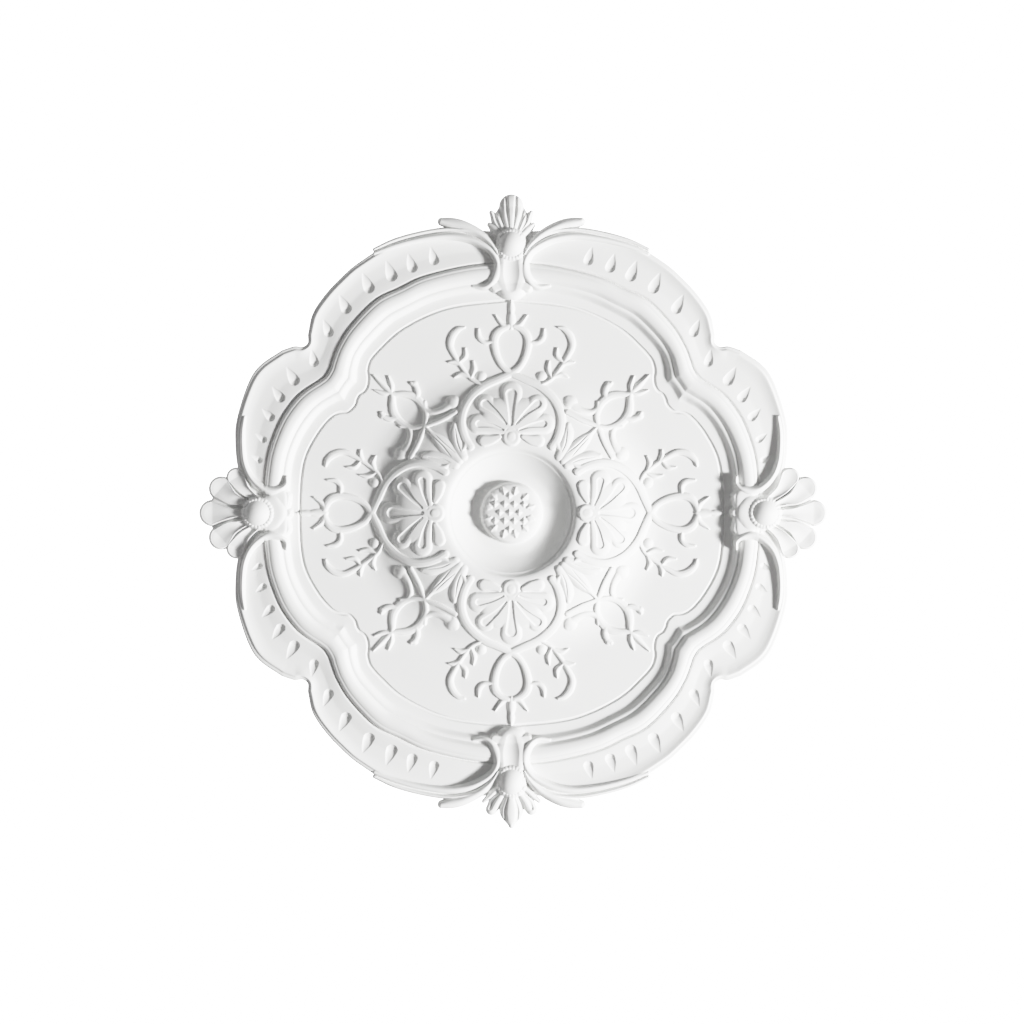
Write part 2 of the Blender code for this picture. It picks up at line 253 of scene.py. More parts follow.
# Radius and height from the knob out to the field.
CENTRE_PROFILE = [
    (0, 44), (16, 43.4), (30, 41.8), (37, 40.4), (42, 38), (44.5, 34), (46, 25.5), (48, 23.6),
    (56, 23.8), (64, 25), (72, 28.2), (80, 32.6), (86, 37), (90, 40.6), (91.6, 41.2), (93, 42.2),
    (96.5, 46.4), (101, 48.0), (106, 48.4), (112, 47.8), (125, 45.5), (150, 40.5), (170, 33.5),
    (188, 25), (204, 18.5), (217, 15.6), (228, 14.4), (240, 14)]
# Share of the way between two outlines, and height. The cove holds a thin bead.
COVE_AND_TORUS = [
    (0, 14), (0.24, 14.6), (0.31, 16), (0.39, 20.8), (0.43, 22.4), (0.47, 22.9), (0.51, 23.2),
    (0.59, 28), (0.66, 29.8), (0.76, 30.4), (0.84, 29.4), (0.875, 28.2), (0.92, 27.6),
    (0.96, 25.6), (0.985, 22), (1, 19)]
CHANNEL_AND_RIM = [
    (0, 19), (0.02, 21), (0.05, 22.8), (0.1, 22.8), (0.2, 22.0), (0.3, 21), (0.39, 20.2),
    (0.55, 20), (0.67, 20.3), (0.78, 21.6), (0.87, 23.4), (0.9, 23.2), (0.92, 21.6),
    (0.94, 21.2), (1, 20.6)]
EDGE_ROUNDING = 3.0
GREATEST_HEIGHT = -CAD_BOX[0][2] / MM - 0.1


def quarter_line(outline):
    """One smooth open line through a quarter's three stretches."""
    runs = [smooth(points, 2.0) for points in outline]
    return np.vstack([runs[0], runs[1][1:], runs[2][1:]])


def eased(points, value):
    """Smooth interpolation of a profile given as points."""
    points = np.asarray(points, dtype=float)
    dense = smooth(np.column_stack([points[:, 0], points[:, 1]]), 0.01 * np.ptp(points[:, 0]))
    return np.interp(value, dense[:, 0], dense[:, 1])


def quarter_distances(line):
    """Signed distance to a quarter line, over the quarter's grid, positive towards the centre."""
    x = grid_x[COLUMNS // 2:][None, :]
    y = grid_y[ROWS // 2:][:, None]
    ends = np.vstack([line[0] * (1, -1) + (0, -4), line, line[-1] * (-1, 1) + (-4, 0)])
    best = np.full((len(y), x.shape[1]), 1e9)
    inner = np.ones_like(best)
    for start, end in zip(ends, ends[1:]):
        step = end - start
        size = float(step @ step) + 1e-12
        along = np.clip(((x - start[0]) * step[0] + (y - start[1]) * step[1]) / size, 0, 1)
        distance = np.hypot(x - start[0] - along * step[0], y - start[1] - along * step[1])
        closer = distance < best
        best = np.where(closer, distance, best)
    # Even-odd test for the inside, along +X.
    crossings = np.zeros(best.shape, dtype=int)
    for start, end in zip(ends, ends[1:]):
        low, high = min(start[1], end[1]), max(start[1], end[1])
        if high <= low:
            continue
        spans = (y >= low) & (y < high)
        at = start[0] + (y - start[1]) / (end[1] - start[1]) * (end[0] - start[0])
        crossings += (spans & (x < at)).astype(int)
    inner = np.where(crossings % 2 == 1, 1.0, -1.0)
    return best * inner


def lay_frame():
    """Field, cove, torus, channel and rim."""
    field = quarter_distances(quarter_line(FIELD_LINE))
    groove = quarter_distances(quarter_line(GROOVE_LINE))
    outer = quarter_distances(quarter_line(OUTER_LINE))
    u = np.clip(-field / np.maximum(-field + groove, 1e-6), 0, 1)
    v = np.clip(-groove / np.maximum(-groove + outer, 1e-6), 0, 1)
    section = np.where(field > 0, FIELD_HEIGHT, eased(COVE_AND_TORUS, u))
    section = np.where(groove < 0, eased(CHANNEL_AND_RIM, v), section)
    section = np.where(outer < 0, CHANNEL_AND_RIM[-1][1], section)
    quarter = section.astype(np.float32)
    half = np.hstack([quarter[:, :0:-1], quarter])
    height[:] = np.vstack([half[:0:-1], half])
    half = np.hstack([outer[:, :0:-1], outer])
    solid[:] = np.vstack([half[:0:-1], half])


def shift_to_centre():
    """Move the frame from the grid's middle to the rose's centre."""
    columns = round(CENTRE[0] / CELL)
    rows = round(CENTRE[1] / CELL)
    height[:] = np.roll(height, (rows, columns), (0, 1))
    solid[:] = np.roll(solid, (rows, columns), (0, 1))


def lay_centre():
    """Knob, dish, bead and dome."""
    radius = np.hypot(grid_x[None, :] - CENTRE[0], grid_y[:, None] - CENTRE[1])
    inside = radius < DOME_REACH
    height[inside] = eased(CENTRE_PROFILE, radius[inside])


# Field ornament. Every stroke is drawn once, for one of the eight equal parts between an
# axis and a diagonal: pixels sideways from the axis and outwards along it. Widths and
# rises are millimetres.
STRAP = [
    (41, 66), (46, 74), (49.5, 85), (50, 95), (47, 106), (40, 117), (28, 127), (13, 134),
    (0, 140), (-8, 146), (-13, 154), (-16, 163), (-17, 172), (-15, 179), (-10, 184), (-3, 187)]
DIAGONAL_STRAND = [
    (56, 101), (64, 96.5), (72, 92.5), (80, 89.5), (87, 87), (97, 85.5), (106, 88), (113, 93),
    (117.5, 100), (119, 108), (119, 115), (120, 121)]
VINE = [
    (29, 128), (40, 134), (49, 145), (56, 156), (61, 167), (59, 177), (53, 184), (47, 186)]
STRANDS = [
    (STRAP, (12, 13, 13, 13, 11, 9, 11, 12, 8), 4.2),
    (DIAGONAL_STRAND, (8, 8, 8, 7, 9, 12, 12, 9, 6), 4.0),
    (VINE, (5, 6, 6.5, 8, 11, 9, 4), 3.8),
    # Curl beside the vase.
    ([(19, 171), (27, 171), (32, 176), (33, 184)], (5, 7, 8, 4), 3.8),
    # Sprout from the diagonal loop.
    ([(95, 115), (94, 121), (96, 127), (100, 130)], (8, 9, 8, 6), 4.2),
]
LEAFLETS = [
    # Along the vine.
    ([(42, 136), (50, 139), (57, 136)], (4, 9, 3)),
    ([(51, 148), (57, 151), (63, 151)], (4, 8, 3)),
    ([(40, 136), (37, 144), (38, 152)], (4, 8, 3)),
    ([(52, 151), (46, 157), (46, 165)], (4, 8, 3)),
    # Below the bud.
    ([(3, 187), (9, 189), (16, 198)], (5, 8, 3)),
    # Side prongs of the trident.
    ([(120, 121), (120, 128), (123, 137)], (5, 8, 3)),
    # Curled leaf between strap and strand.
    ([(57, 113), (62, 108), (70, 103), (79, 101), (86, 104), (87, 111)], (14, 13, 10, 9, 9, 6)),
    # Acanthus leaves beside the straps.
    ([(48, 56), (52, 64), (55, 73), (57, 81), (57, 88)], (14, 18, 18, 16, 8)),
    ([(49, 62), (46, 68), (46, 76)], (6, 9, 4)),
]
ON_AXIS = [
    ([(0, 186), (0, 192), (0, 198), (0, 201)], (8, 13, 11, 7)),
    ([(0, 199), (0, 204), (0, 209), (0, 214)], (6, 10, 8, 3)),
]
ON_DIAGONAL = [
    ([(120, 121), (128, 128), (138, 138)], (6, 9, 3)),
    ([(52, 52), (60, 60), (68, 68), (75, 75), (80, 80), (86, 86)], (12, 20, 21, 15, 7, 6)),
]
LEAF_RISE = 3.8
LEAF_VEINS = [
    ([(50, 60), (54, 70), (56, 84)], 3.0),
    ([(56, 60), (67, 69), (76, 78)], 3.0),
]
VEIN_DEPTH = 1.1
BEADS = [(30, 137, 15.0, 4.2), (59, 111, 20.0, 4.8), (49, 60, 13.0, 3.6), (97, 129, 10.0, 4.2)]
# Fan: a body and lobes raised, flutes sunk in them, from the rosette outwards.
FAN_BODY = [(-13, 97), (13, 97)]
FAN_BODY_WIDTH = 54.0
FAN_LOBES = [
    ([(6, 86), (16, 98), (26, 109)], (12, 20, 29)),
    ([(8, 82), (20, 86), (33, 89)], (12, 22, 31)),
    ([(12, 76), (20, 73), (27, 72)], (8, 15, 19)),
]
MIDDLE_LOBE = ([(0, 84), (0, 104), (0, 121)], (16, 26, 33))
FAN_LOBE_RISE = 3.6
FAN_FLUTES = [
    ([(5, 89), (14, 99), (26, 109)], (3, 7, 13)),
    ([(8, 83), (19, 87), (32, 89)], (3, 6, 11)),
]
MIDDLE_FLUTE = ([(0, 89), (0, 104), (0, 118.5)], (6, 10, 17))
FLUTE_LIP = 4.5
FLUTE_LIP_RISE = 4.5
FLUTE_DEPTH = 2.8
ROSETTE = [(0, 75.5), (0, 77)]
ROSETTE_WIDTH = 28.0
ROSETTE_RISE = 4.4
ROSETTE_EYE = 17.0


def images(points):
    """A stroke's images in all the parts of the rose, in mm; one on an axis has four."""
    points = np.asarray(points, dtype=float)
    found = []
    for swap in (False, True):
        turned = points[:, ::-1] if swap else points
        for flip in ((1, 1), (-1, 1), (1, -1), (-1, -1)):
            image = place(turned * flip + ROSE_CENTRE)
            if not any(np.allclose(image, other, atol=0.01) for other in found):
                found.append(image)
    return found


def lay_field_ornament():
    """Straps, fans, vines and leaves on the dome and the field."""
    for points, widths, rise in STRANDS:
        for image in images(points):
            raise_stroke(image, widths, rise, "strap")
    for points, widths in LEAFLETS + ON_AXIS + ON_DIAGONAL:
        for image in images(points):
            raise_stroke(image, widths, LEAF_RISE, "dome")
    for points, width in LEAF_VEINS:
        for image in images(points):
            carve_stroke(image, (0.5, width, 0.5), VEIN_DEPTH)
    for sideways, outwards, width, rise in BEADS:
        for image in images([(sideways, outwards), (sideways + 0.5, outwards)]):
            raise_stroke(image, width, rise, "dome")
    for image in images(FAN_BODY):
        raise_stroke(image, FAN_BODY_WIDTH, FAN_LOBE_RISE, "flat", blend=0.3)
    for points, widths in FAN_LOBES + [MIDDLE_LOBE]:
        for image in images(points):
            raise_stroke(image, widths, FAN_LOBE_RISE, "flat", blend=0.3)
    for points, widths in FAN_FLUTES + [MIDDLE_FLUTE]:
        for image in images(points):
            raise_stroke(image, np.array(widths) + FLUTE_LIP, FLUTE_LIP_RISE, "dome", blend=0.3)
            carve_stroke(image, widths, FLUTE_DEPTH, "round")
    for image in images(ROSETTE):
        raise_stroke(image, ROSETTE_WIDTH, ROSETTE_RISE, "flat")
        carve_stroke(image, ROSETTE_EYE + 5, 1.6, "soft")
        raise_stroke(image, ROSETTE_EYE, ROSETTE_RISE + 0.6, "round")


# Line sunk along the edge of the field.
FIELD_GROOVE_WIDTH = 4.6
FIELD_GROOVE_DEPTH = 2.2
# Hollows across the channel: middle, direction inwards and relative size, drawn like the
# field ornament.
DIMPLES = [
    ((78, 256), (-0.25, -0.97), 0.85), ((100, 249), (-0.3, -0.95), 0.9),
    ((121, 241), (-0.35, -0.94), 1.0), ((144, 229), (-0.4, -0.92), 1.0),
    ((167, 208), (-0.45, -0.9), 0.95), ((184, 184), (-0.4, -0.92), 0.85),
    ((198, 154), (-0.2, -0.98), 0.8), ((219, 136), (-0.5, -0.87), 0.95),
    ((233, 118), (-0.6, -0.8), 0.85), ((243, 98), (-0.7, -0.7), 0.75),
    ((250, 75), (-0.8, -0.6), 0.6), ((254, 54), (-0.85, -0.5), 0.55)]
DIMPLE_REACH = (-11, -2, 4)
DIMPLE_WIDTHS = (3, 13, 16)
DIMPLE_DEPTHS = (0.4, 1.8, 3.6)


def ring_images(points):
    """A stroke's images in the four quarters, in mm."""
    points = np.asarray(points, dtype=float)
    flips = ((1, 1), (-1, 1), (1, -1), (-1, -1))
    return [place(points * flip + ROSE_CENTRE) for flip in flips]


def settle():
    """Take the relief so far as the ground for what comes next."""
    ground[:] = height


def lay_frame_ornament():
    """The field's groove and the channel's hollows."""
    quarter = quarter_line(FIELD_LINE)
    for flip in ((1, 1), (-1, 1), (1, -1), (-1, -1)):
        line = quarter * flip + CENTRE
        carve_stroke(line[::4], FIELD_GROOVE_WIDTH, FIELD_GROOVE_DEPTH, "round")
    for middle, inwards, share in DIMPLES:
        route = [
            np.array(middle) + np.array(inwards) * reach * share for reach in DIMPLE_REACH]
        for image in ring_images(route):
            carve_stroke(image, np.array(DIMPLE_WIDTHS) * share, DIMPLE_DEPTHS, "round")


# Shells on the left and right, drawn sideways and outwards from the rose's centre.
SHELL_BASE = [(0, 262), (0, 262.5)]
SHELL_BASE_WIDTH = 120.0
SHELL_BASE_HEIGHT = 21.5
SHELL_LOBES = [
    ([(13, 256), (21.5, 267), (27.5, 272), (35.5, 277)], (14, 20, 25, 31), (31, 31, 30, 27)),
    ([(8, 262), (12, 273), (16, 283), (24.5, 292.5)], (13, 18, 27, 37), (32, 32, 31, 27)),
]
SHELL_MIDDLE = ([(0, 262), (0, 272), (0, 283), (0, 301)], (16, 17, 21, 40), (32, 32, 31, 27))
SHELL_LIP = 7.0
SHELL_FLUTE_DEPTH = 4.5
# The right shell stands this much farther out than the left one, in pixels.
SHELL_SHIFT = 1.7
LIP_HEIGHT = 18.0
SIDE_SCROLL = [
    (36, 225), (29, 225), (24, 231), (22, 241), (26, 251), (36, 261), (50, 267), (66, 269),
    (82, 269), (96, 267)]
SIDE_SCROLL_WIDTHS = (5, 8, 11, 13, 13, 11, 9, 8, 7, 5)
SIDE_SCROLL_HEIGHTS = (28, 33, 36, 36.5, 36, 34.5, 32, 30, 28, 26)
SIDE_CONSOLE = [
    ([(-15, 233), (15, 233)], 36, 33),
    ([(0, 240), (0, 250)], 56, 36),
    ([(-16, 226), (-10, 227)], 20, 31), ([(16, 226), (10, 227)], 20, 31),
    ([(0, 224), (0, 230)], 18, 31),
]
SIDE_BOSS = 254.0
END_BOSS = 268.5
BOSS_WIDTH = 38.0
BOSS_RISE = 8.5
COLLAR_WIDTH = 49.0
COLLAR_HEIGHT = 38.0
COLLAR_BEADS = 26
COLLAR_BEAD_WIDTH = 5.5

# Ends, drawn the same way.
END_SCROLL = [
    (38, 227), (27, 226), (19, 231), (14, 241), (14, 252), (20, 262), (32, 270), (46, 275),
    (65, 277), (90, 274), (115, 268), (137, 260)]
END_SCROLL_WIDTHS = (5, 10, 13, 14, 14, 14, 14, 13, 11, 9, 8, 6)
END_SCROLL_HEIGHTS = (25, 30, 34, 36, 36, 36, 34, 32, 30, 28, 26, 24)
END_EDGE = [(22, 270), (33, 279), (48, 283), (67, 284), (92, 280), (117, 273), (137, 264)]
END_EDGE_WIDTHS = (6, 7, 7, 7, 7, 7, 6)
END_EDGE_HEIGHTS = (34, 32, 30, 28, 26, 25, 24)
END_LEAF = [(13, 258), (20, 269), (33, 280), (48, 287), (60, 290), (70, 292)]
END_LEAF_WIDTHS = (8, 12, 15, 18, 18, 12)
END_LEAF_HEIGHTS = (37, 36, 33, 31, 29, 27)
END_NECK = [
    ([(0, 230), (0, 240), (0, 252)], (52, 52, 50), (31, 35, 36)),
    ([(-16, 226), (-6, 228)], 18, 30), ([(16, 226), (6, 228)], 18, 30),
    ([(0, 225), (0, 232)], 20, 30),
]
NECK_FLUTE = [(0, 226), (0, 238), (0, 254)]
NECK_FLUTE_WIDTHS = (16, 24, 22)
NECK_FLUTE_DEPTHS = (1.5, 3.0, 2.5)
# Fan finial at the top end: its body, its side petals and the valleys between its ribs.
PALMETTE = [
    ([(10, 278), (16, 284), (22, 289)], (12, 16, 7), (30, 28, 24)),
    ([(7, 280), (14, 292), (20, 301)], (12, 18, 7), (30, 28, 24)),
    ([(0, 280), (0, 296), (0, 307)], (30, 50, 37), (31, 30, 26)),
]
PALMETTE_VALLEYS = [
    [(2, 284), (4, 300), (5, 317)], [(6, 284), (10, 297), (13, 309)],
    [(9, 282), (14, 291), (17, 300)]]
# Leaf finial at the bottom end.
LEAF_FINIAL = [
    ([(14, 276), (21, 283), (28, 289)], (10, 9, 5), (30, 28, 24)),
    ([(8, 280), (15, 289), (20, 297)], (14, 21, 17), (30, 28, 24)),
    ([(0, 280), (0, 295), (0, 304), (0, 313)], (24, 36, 31, 9), (32, 30, 27, 23)),
]
LEAF_VALLEYS = [
    [(3, 284), (6, 298), (5, 311)], [(8, 284), (12, 293), (14, 302)],
    [(12, 282), (18, 289), (21, 296)]]
VALLEY_WIDTHS = (2, 6, 5)
VALLEY_DEPTHS = (1.0, 3.0, 3.5)


def axis_images(points, outwards):
    """A stroke's two mirror images at one end or side, in mm; one if it lies on the axis."""
    points = np.asarray(points, dtype=float)
    along = np.array(outwards, dtype=float)
    across = np.array([-along[1], along[0]])
    found = []
    for flip in (1, -1):
        image = place(points[:, :1] * flip * across + points[:, 1:] * along + ROSE_CENTRE)
        if not any(np.allclose(image, other, atol=0.01) for other in found):
            found.append(image)
    return found


def lay_boss(distance, outwards):
    """A domed boss in a beaded collar."""
    settle()
    spot, = axis_images([(0, distance), (0, distance + 0.3)], outwards)
    raise_piece(spot, COLLAR_WIDTH, COLLAR_HEIGHT, "flat")
    settle()
    middle = spot.mean(axis=0)
    ring = (COLLAR_WIDTH - COLLAR_BEAD_WIDTH) / 2
    for index in range(COLLAR_BEADS):
        turn = 2 * math.pi * index / COLLAR_BEADS
        bead = middle + ring * np.array([math.cos(turn), math.sin(turn)])
        raise_stroke([bead, bead + 0.2], COLLAR_BEAD_WIDTH + 1, 1.6, "dome")
    raise_stroke(spot, BOSS_WIDTH, BOSS_RISE, "soft")


def lay_side(outwards):
    """Shell, scrolls, console and boss of one side."""
    shift = np.array([0.0, SHELL_SHIFT * outwards[0]])
    for image in axis_images(SHELL_BASE, outwards):
        raise_piece(image, SHELL_BASE_WIDTH, SHELL_BASE_HEIGHT, "flat")
    for points, widths, heights in SHELL_LOBES + [SHELL_MIDDLE]:
        for image in axis_images(np.array(points) + shift, outwards):
            raise_piece(image, widths, heights, "flat")
            carve_stroke(image, np.array(widths) - SHELL_LIP, SHELL_FLUTE_DEPTH, "round")
    settle()
    for points, widths, heights in SIDE_CONSOLE:
        for image in axis_images(points, outwards)[:1]:
            raise_piece(image, widths, heights, "flat")
    for image in axis_images(SIDE_SCROLL, outwards):
        raise_piece(image, SIDE_SCROLL_WIDTHS, SIDE_SCROLL_HEIGHTS)
    lay_boss(SIDE_BOSS, outwards)


def lay_end(outwards):
    """Finial, leaves, scrolls, neck and boss of one end."""
    petals, valleys = (PALMETTE, PALMETTE_VALLEYS) if outwards[1] < 0 else (
        LEAF_FINIAL, LEAF_VALLEYS)
    for points, widths, heights in petals:
        for image in axis_images(points, outwards):
            raise_piece(image, widths, heights, "dome")
    for points in valleys:
        for image in axis_images(points, outwards):
            carve_stroke(image, VALLEY_WIDTHS, VALLEY_DEPTHS)
    for image in axis_images(END_LEAF, outwards):
        raise_piece(image, END_LEAF_WIDTHS, END_LEAF_HEIGHTS)
    for image in axis_images(END_EDGE, outwards):
        raise_piece(image, END_EDGE_WIDTHS, END_EDGE_HEIGHTS)
    for points, widths, heights in END_NECK:
        for image in axis_images(points, outwards)[:1]:
            raise_piece(image, widths, heights, "flat")
    for image in axis_images(END_SCROLL, outwards):
        raise_piece(image, END_SCROLL_WIDTHS, END_SCROLL_HEIGHTS)
    for image in axis_images(NECK_FLUTE, outwards):
        carve_stroke(image, NECK_FLUTE_WIDTHS, NECK_FLUTE_DEPTHS)
    lay_boss(END_BOSS, outwards)


# Knob: diamonds in offset rows, with larger leaf-like facets round them.
DIAMOND_SPACING = 14.5
DIAMOND_WIDTH = 12.5
DIAMOND_RISE = 4.2
DIAMOND_REACH = 27.0
KNOB_SHIFT = (-3.0, -0.8)
KNOB_LEAVES = 12
KNOB_LEAF = ((29, 33, 38), (6, 13, 5), 3.0)


def lay_knob():
    """Pointed diamonds on the knob and a ring of leaves round them."""
    row_step = DIAMOND_SPACING * math.sin(math.radians(60))
    middle = CENTRE + KNOB_SHIFT
    half = DIAMOND_WIDTH / 2
    for row in range(-3, 4):
        for column in range(-3, 4):
            offset = np.array([(column + 0.5 * (row % 2)) * DIAMOND_SPACING, row * row_step])
            if np.hypot(*offset) > DIAMOND_REACH:
                continue
            x, y = middle + offset
            rows, columns = window(x - half, x + half, y - half, y + half)
            across = np.abs(grid_x[columns][None, :] - x) + np.abs(grid_y[rows][:, None] - y)
            point = ground[rows, columns] + DIAMOND_RISE * np.clip(1 - across / half, 0, 1)
            height[rows, columns] = np.maximum(height[rows, columns], point)
    radii, widths, rise = KNOB_LEAF
    for index in range(KNOB_LEAVES):
        turn = 2 * math.pi * (index + 0.5) / KNOB_LEAVES
        direction = np.array([math.cos(turn), math.sin(turn)])
        route = [middle + direction * radius for radius in radii]
        raise_stroke(route, widths, rise, "ridge")


# Meshing.
GRID_POINTS = (COLUMNS + 1) * (ROWS + 1)
CROSS_POINTS = COLUMNS * (ROWS + 1)
ALL_POINTS = GRID_POINTS + CROSS_POINTS + (COLUMNS + 1) * ROWS


def leaf_powers(surface, tolerance):
    """For each grid cell the power of two of its leaf's size, 0 on the outline and -1 outside."""
    inside = solid > 0
    corners = [inside[:-1, :-1], inside[:-1, 1:], inside[1:, :-1], inside[1:, 1:]]
    full = np.logical_and.reduce(corners)
    some = np.logical_or.reduce(corners)
    powers = np.where(some, 0, -1).astype(np.int8)
    for power in range(1, LARGEST_POWER + 1):
        size = 2**power
        rows = ROWS // size
        columns = COLUMNS // size
        low_left = surface[:-1:size, :-1:size]
        low_right = surface[:-1:size, size::size]
        high_left = surface[size::size, :-1:size]
        high_right = surface[size::size, size::size]
        worst = np.zeros((rows, columns), dtype=np.float32)
        for up in range(size + 1):
            for over in range(size + 1):
                fy = up / size
                fx = over / size
                flat = (
                    (1 - fy) * ((1 - fx) * low_left + fx * low_right)
                    + fy * ((1 - fx) * high_left + fx * high_right))
                there = surface[
                    up:up + (rows - 1) * size + 1:size, over:over + (columns - 1) * size + 1:size]
                worst = np.maximum(worst, np.abs(there - flat))
        whole = full.reshape(rows, size, columns, size).all(axis=(1, 3))
        fits = whole & (worst < tolerance)
        spread_out = np.repeat(np.repeat(fits, size, axis=0), size, axis=1)
        powers[spread_out] = power
    return balanced(powers)


def balanced(powers):
    """Split leaves until neighbours differ by at most one power."""
    while True:
        around = np.where(powers < 0, 9, powers)
        padded = np.pad(around, 1, constant_values=9)
        lowest = np.minimum.reduce([
            padded[:-2, 1:-1], padded[2:, 1:-1], padded[1:-1, :-2], padded[1:-1, 2:]])
        changed = False
        for power in range(LARGEST_POWER, 1, -1):
            size = 2**power
            shape = (ROWS // size, size, COLUMNS // size, size)
            least = lowest.reshape(shape).min(axis=(1, 3))
            here = powers[::size, ::size] == power
            split = here & (least < power - 1)
            if split.any():
                changed = True
                spread_out = np.repeat(np.repeat(split, size, axis=0), size, axis=1)
                powers[spread_out] = power - 1
        if not changed:
            return powers


def point_id(row, column):
    return row * (COLUMNS + 1) + column


def row_edge_id(row, column):
    """Point on the grid edge from a column to the next."""
    return GRID_POINTS + row * COLUMNS + column


def column_edge_id(row, column):
    """Point on the grid edge from a row to the next."""
    return GRID_POINTS + CROSS_POINTS + row * (COLUMNS + 1) + column


# The corners and edges of an outline cell, counted round from its low row and column:
# c0 e0 c1 e1 c2 e2 c3 e3. Key: which corners are inside, c0 first.
OUTLINE_POLYGONS = {
    1: [(0, 1, 7)], 2: [(1, 2, 3)], 4: [(3, 4, 5)], 8: [(5, 6, 7)],
    3: [(0, 2, 3, 7)], 6: [(1, 2, 4, 5)], 12: [(3, 4, 6, 7)], 9: [(0, 1, 5, 6)],
    5: [(0, 1, 7), (3, 4, 5)], 10: [(1, 2, 3), (5, 6, 7)],
    7: [(0, 2, 4), (0, 4, 5, 7)], 14: [(2, 4, 6), (2, 6, 7, 1)],
    13: [(4, 6, 0), (4, 0, 1, 3)], 11: [(6, 0, 2), (6, 2, 3, 5)],
}


def leaf_faces(powers, rows, columns):
    """Faces of a tile as id arrays by their corner count, and the outline's edges."""
    triangles = []
    quads = []
    outline = []
    tile = powers[rows, columns]
    inside = solid > 0
    padded = np.pad(powers, 1, constant_values=-1)
    for power in range(0, LARGEST_POWER + 1):
        size = 2**power
        row, column = np.nonzero(tile[::size, ::size] == power)
        row = row * size + rows.start
        column = column * size + columns.start
        low_left = point_id(row, column)
        low_right = point_id(row, column + size)
        high_right = point_id(row + size, column + size)
        high_left = point_id(row + size, column)
        if power == 0:
            key = (
                inside[row, column] * 1 + inside[row, column + 1] * 2
                + inside[row + 1, column + 1] * 4 + inside[row + 1, column] * 8)
            full = key == 15
            quads.append(np.column_stack([low_left, low_right, high_right, high_left])[full])
            codes = np.column_stack([
                low_left, row_edge_id(row, column), low_right, column_edge_id(row, column + 1),
                high_right, row_edge_id(row + 1, column), high_left, column_edge_id(row, column)])
            for case, polygons in OUTLINE_POLYGONS.items():
                chosen = codes[key == case]
                for polygon in polygons:
                    faces = chosen[:, polygon]
                    (triangles if len(polygon) == 3 else quads).append(faces)
                    for first, second in zip(polygon, polygon[1:] + polygon[:1]):
                        if first % 2 == 1 and second % 2 == 1:
                            outline.append(chosen[:, (first, second)])
            continue
        middle = point_id(row + size // 2, column + size // 2)
        half = size // 2
        sides = [
            (low_left, low_right, point_id(row, column + half), padded[row, column + 1]),
            (low_right, high_right, point_id(row + half, column + size),
             padded[row + 1, column + size + 1]),
            (high_right, high_left, point_id(row + size, column + half),
             padded[row + size + 1, column + 1]),
            (high_left, low_left, point_id(row + half, column), padded[row + 1, column]),
        ]
        finer = [(across >= 0) & (across < power) for _, _, _, across in sides]
        plain = ~np.logical_or.reduce(finer)
        quads.append(np.column_stack([low_left, low_right, high_right, high_left])[plain])
        for (first, second, between, _), split in zip(sides, finer):
            whole = ~plain & ~split
            triangles.append(np.column_stack([middle, first, second])[whole])
            triangles.append(np.column_stack([middle, first, between])[split])
            triangles.append(np.column_stack([middle, between, second])[split])
    return np.vstack(triangles), np.vstack(quads), np.vstack(outline)


def point_places(ids, surface):
    """x, y in mm and height of points on the grid and on its edges."""
    x = np.empty(len(ids))
    y = np.empty(len(ids))
    level = np.empty(len(ids))
    on_grid = ids < GRID_POINTS
    row, column = np.divmod(ids[on_grid], COLUMNS + 1)
    x[on_grid] = grid_x[column]
    y[on_grid] = grid_y[row]
    level[on_grid] = surface[row, column]
    on_row = (ids >= GRID_POINTS) & (ids < GRID_POINTS + CROSS_POINTS)
    row, column = np.divmod(ids[on_row] - GRID_POINTS, COLUMNS)
    share = edge_share(solid[row, column], solid[row, column + 1])
    x[on_row] = grid_x[column] + share * CELL
    y[on_row] = grid_y[row]
    level[on_row] = (1 - share) * surface[row, column] + share * surface[row, column + 1]
    on_column = ids >= GRID_POINTS + CROSS_POINTS
    row, column = np.divmod(ids[on_column] - GRID_POINTS - CROSS_POINTS, COLUMNS + 1)
    share = edge_share(solid[row, column], solid[row + 1, column])
    x[on_column] = grid_x[column]
    y[on_column] = grid_y[row] + share * CELL
    level[on_column] = (1 - share) * surface[row, column] + share * surface[row + 1, column]
    return x, y, level


def edge_share(first, second):
    """How far along a grid edge the outline crosses it."""
    first = first.astype(float)
    return np.clip(first / (first - second), 0.04, 0.96)


def sampled(field, x, y):
    """A field's values at points, between those of the grid."""
    column = np.clip((x - grid_x[0]) / CELL, 0, COLUMNS - 1e-6)
    row = np.clip((y - grid_y[0]) / CELL, 0, ROWS - 1e-6)
    left = column.astype(int)
    low = row.astype(int)
    fx = column - left
    fy = row - low
    return (
        (1 - fy) * ((1 - fx) * field[low, left] + fx * field[low, left + 1])
        + fy * ((1 - fx) * field[low + 1, left] + fx * field[low + 1, left + 1]))


def open_edges(triangles, quads):
    """Edges that only one face has, in that face's direction."""
    edges = np.vstack([
        triangles[:, (0, 1)], triangles[:, (1, 2)], triangles[:, (2, 0)],
        quads[:, (0, 1)], quads[:, (1, 2)], quads[:, (2, 3)], quads[:, (3, 0)]])
    key = edges.min(axis=1).astype(np.int64) * (2 * ALL_POINTS) + edges.max(axis=1)
    _, first, count = np.unique(key, return_index=True, return_counts=True)
    return edges[first[count == 1]]


